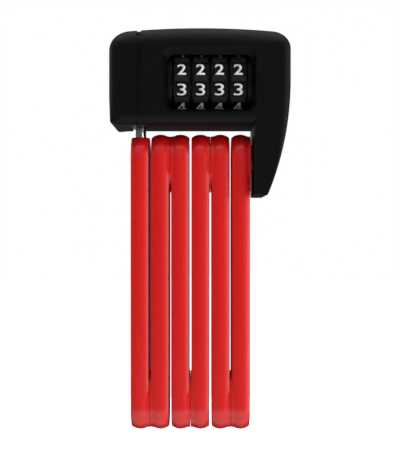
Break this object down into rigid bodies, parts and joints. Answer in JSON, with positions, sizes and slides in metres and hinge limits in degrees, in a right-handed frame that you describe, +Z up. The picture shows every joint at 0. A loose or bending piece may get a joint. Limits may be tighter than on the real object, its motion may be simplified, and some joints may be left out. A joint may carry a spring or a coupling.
{
  "type": "folding bike lock",
  "caption": "Folding combination lock: a black head with number wheels and a curved prong, and covered steel links riveted side by side, the last with a locking bolt.",
  "frame": {"origin": "middle of the folded pack of links, halfway between its top and bottom rivets", "axes": "+X from the locking bolt towards the prong, along the rivets; +Y to the back of the lock, away from the number window; +Z up, from the links to the head"},
  "size_m": [0.0878, 0.037, 0.1975],
  "materials": {
    "link_cover": "bright red soft-touch plastic skin, satin",
    "hardened_steel": "hardened steel, ground",
    "rivet_steel": "blackened steel rivet with a turned face",
    "spacer_steel": "turned steel ring",
    "bolt_steel": "polished steel",
    "housing_black": "black moulded plastic, satin with a fine grain",
    "bezel_black": "black moulded plastic, semi-gloss",
    "wheel_black": "black moulded plastic, glossy, with white numbers",
    "hub_brass": "machined brass",
    "spring_steel": "bright spring steel",
    "screw_steel": "black oxide steel",
    "slider_grey": "dark grey moulded plastic"
  },
  "bodies": {
    "lock_head": {"front_housing": "housing_black", "rear_housing": "housing_black", "end_cap": "housing_black", "dial_bezel": "bezel_black", "wheel_collars": "wheel_black", "wheel_carrier_tube": "hardened_steel", "spindle_bushes": "hub_brass", "lock_chassis": "hardened_steel", "hinge_plate": "hardened_steel", "chassis_screws": "screw_steel", "bolt_socket": "hardened_steel", "latch_spring": "spring_steel", "detent_spring": "spring_steel", "housing_screws": "screw_steel", "prong_rivet": "rivet_steel", "prong_spacer_ring": "spacer_steel"},
    "link_1": {"link_cover_1": "link_cover", "link_core_1": "hardened_steel", "locking_bolt": "bolt_steel"},
    "link_2": {"link_cover_2": "link_cover", "link_core_2": "hardened_steel", "hinge_rivet_1_2": "rivet_steel", "spacer_ring_1_2": "spacer_steel"},
    "link_3": {"link_cover_3": "link_cover", "link_core_3": "hardened_steel", "hinge_rivet_2_3": "rivet_steel", "spacer_ring_2_3": "spacer_steel"},
    "link_4": {"link_cover_4": "link_cover", "link_core_4": "hardened_steel", "hinge_rivet_3_4": "rivet_steel", "spacer_ring_3_4": "spacer_steel"},
    "link_5": {"link_cover_5": "link_cover", "link_core_5": "hardened_steel", "hinge_rivet_4_5": "rivet_steel", "spacer_ring_4_5": "spacer_steel"},
    "link_6": {"link_cover_6": "link_cover", "link_core_6": "hardened_steel", "hinge_rivet_5_6": "rivet_steel", "spacer_ring_5_6": "spacer_steel"},
    "number_wheel_1": {"number_wheel_1": "wheel_black", "code_hub_1": "hub_brass"},
    "number_wheel_2": {"number_wheel_2": "wheel_black", "code_hub_2": "hub_brass"},
    "number_wheel_3": {"number_wheel_3": "wheel_black", "code_hub_3": "hub_brass"},
    "number_wheel_4": {"number_wheel_4": "wheel_black", "code_hub_4": "hub_brass"},
    "latch": {"latch_spindle": "hardened_steel"},
    "code_change_slider": {"code_change_slider": "slider_grey"}
  },
  "joints": [
    {"name": "prong_hinge", "type": "hinge", "parent": "lock_head", "child": "link_6", "pos_m": [0.0297, 0, 0.061], "axis": [1, 0, 0], "range_deg": [-90, 90]},
    {"name": "hinge_5_6", "type": "hinge", "parent": "link_6", "child": "link_5", "pos_m": [0.0198, 0, -0.061], "axis": [1, 0, 0], "range_deg": [-90, 90]},
    {"name": "hinge_4_5", "type": "hinge", "parent": "link_5", "child": "link_4", "pos_m": [0.0099, 0, 0.061], "axis": [1, 0, 0], "range_deg": [-180, 180]},
    {"name": "hinge_3_4", "type": "hinge", "parent": "link_4", "child": "link_3", "pos_m": [0, 0, -0.061], "axis": [1, 0, 0], "range_deg": [-180, 180]},
    {"name": "hinge_2_3", "type": "hinge", "parent": "link_3", "child": "link_2", "pos_m": [-0.0099, 0, 0.061], "axis": [1, 0, 0], "range_deg": [-90, 90]},
    {"name": "hinge_1_2", "type": "hinge", "parent": "link_2", "child": "link_1", "pos_m": [-0.0198, 0, -0.061], "axis": [1, 0, 0], "range_deg": [-90, 90]},
    {"name": "wheel_1_turn", "type": "hinge", "parent": "lock_head", "child": "number_wheel_1", "pos_m": [-0.00407, 0, 0.09865], "axis": [1, 0, 0], "continuous": true},
    {"name": "wheel_2_turn", "type": "hinge", "parent": "lock_head", "child": "number_wheel_2", "pos_m": [0.00505, 0, 0.09865], "axis": [1, 0, 0], "continuous": true},
    {"name": "wheel_3_turn", "type": "hinge", "parent": "lock_head", "child": "number_wheel_3", "pos_m": [0.01415, 0, 0.09865], "axis": [1, 0, 0], "continuous": true},
    {"name": "wheel_4_turn", "type": "hinge", "parent": "lock_head", "child": "number_wheel_4", "pos_m": [0.02327, 0, 0.09865], "axis": [1, 0, 0], "continuous": true},
    {"name": "latch_slide", "type": "slide", "parent": "lock_head", "child": "latch", "axis": [1, 0, 0], "range_m": [0, 0.0026], "stiffness_N_per_m": 300, "springref_m": -0.002, "deforming": ["latch_spring"]},
    {"name": "code_change_slide", "type": "slide", "parent": "lock_head", "child": "code_change_slider", "axis": [1, 0, 0], "range_m": [0, 0.003]}
  ],
  "couplings": [
    {"joint": "hinge_4_5", "follows": "prong_hinge", "ratio": -2},
    {"joint": "hinge_2_3", "follows": "prong_hinge", "ratio": 1},
    {"joint": "hinge_3_4", "follows": "hinge_5_6", "ratio": -2},
    {"joint": "hinge_1_2", "follows": "hinge_5_6", "ratio": 1}
  ]
}
